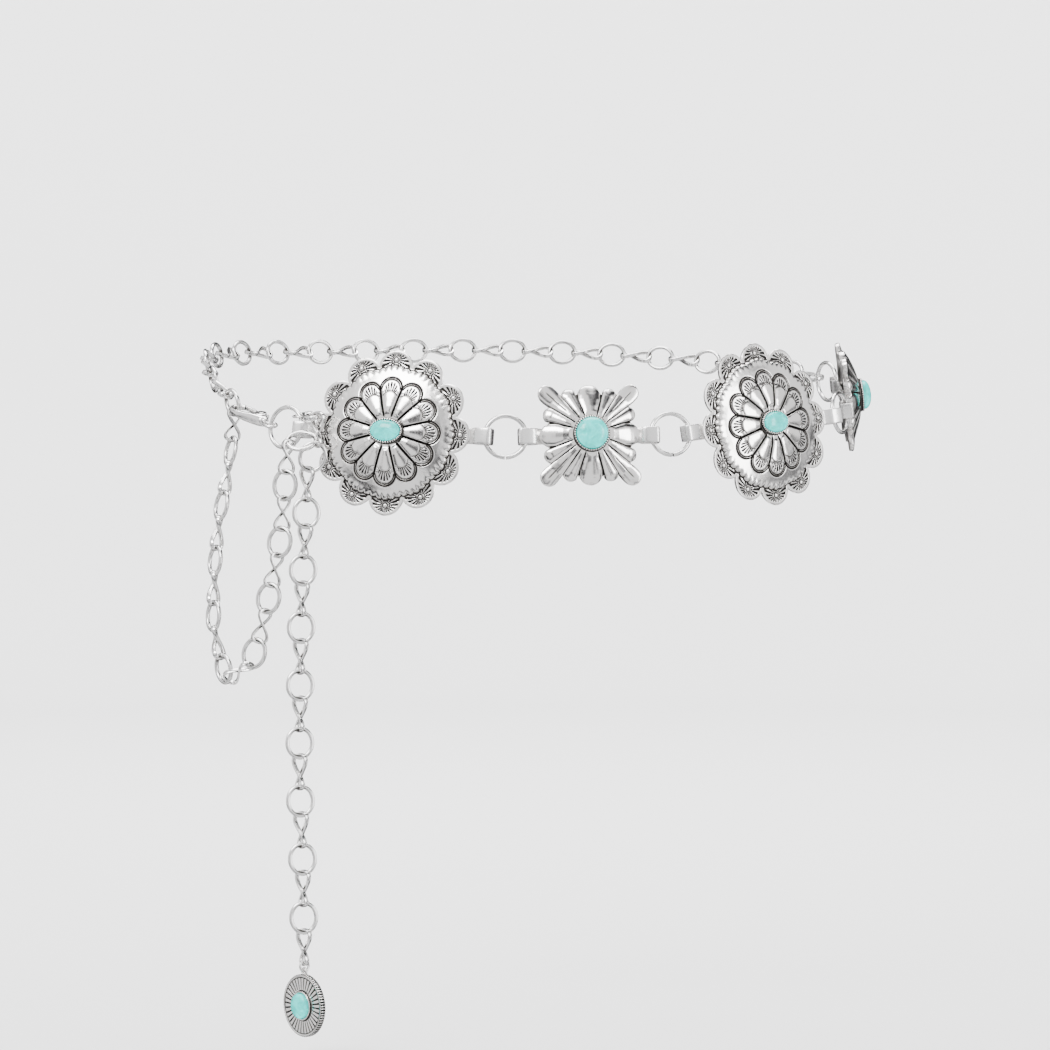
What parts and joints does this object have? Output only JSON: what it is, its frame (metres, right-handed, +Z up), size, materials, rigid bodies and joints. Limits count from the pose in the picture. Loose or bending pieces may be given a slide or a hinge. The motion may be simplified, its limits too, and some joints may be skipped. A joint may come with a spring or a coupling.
{
  "type": "chain belt",
  "caption": "Western chain belt, worn round a waist: cast silver-tone conchos with turquoise stones on rings, a link chain with lobster clasps, a hanging swag and a coin pendant.",
  "frame": {"origin": "middle of the waist opening, at the height of the belt's middle", "axes": "+Z up; -Y the way the wearer faces; +X the wearer's left, the viewer's right"},
  "size_m": [0.28, 0.2056, 0.2799],
  "materials": {
    "silver": "antiqued silver plate, satin, dark in the recesses",
    "turquoise": "turquoise cabochon, polished"
  },
  "bodies": {
    "belt": {"chain_drop": "silver", "chain_waist": "silver", "clasp_1_body": "silver", "clasp_2_body": "silver", "concho_round_1": "silver", "concho_round_2": "silver", "concho_square_1": "silver", "concho_square_2": "silver", "ring_1": "silver", "ring_2": "silver", "ring_3": "silver", "ring_4": "silver", "ring_5": "silver", "stone_round_1": "turquoise", "stone_round_2": "turquoise", "stone_square_1": "turquoise", "stone_square_2": "turquoise"},
    "clasp_1_lever": {"clasp_1_lever": "silver"},
    "clasp_2_lever": {"clasp_2_lever": "silver"},
    "pendant": {"pendant_ring": "silver", "pendant_disc": "silver", "pendant_stone": "turquoise"}
  },
  "joints": [
    {"name": "clasp_1_lever_hinge", "type": "hinge", "parent": "belt", "child": "clasp_1_lever", "pos_m": [-0.10716, -0.05522, -0.01345], "axis": [0.0562, -0.3847, 0.9213], "range_deg": [0, 22], "stiffness_Nm_per_rad": 0.01},
    {"name": "clasp_2_lever_hinge", "type": "hinge", "parent": "belt", "child": "clasp_2_lever", "pos_m": [-0.08665, -0.07328, -0.01323], "axis": [0.1235, 0.1775, -0.9763], "range_deg": [0, 20], "stiffness_Nm_per_rad": 0.005},
    {"name": "pendant_swing", "type": "hinge", "parent": "belt", "child": "pendant", "pos_m": [-0.08661, -0.09938, -0.22504], "axis": [0.6699, -0.7424, 0], "range_deg": [-25, 25]}
  ]
}
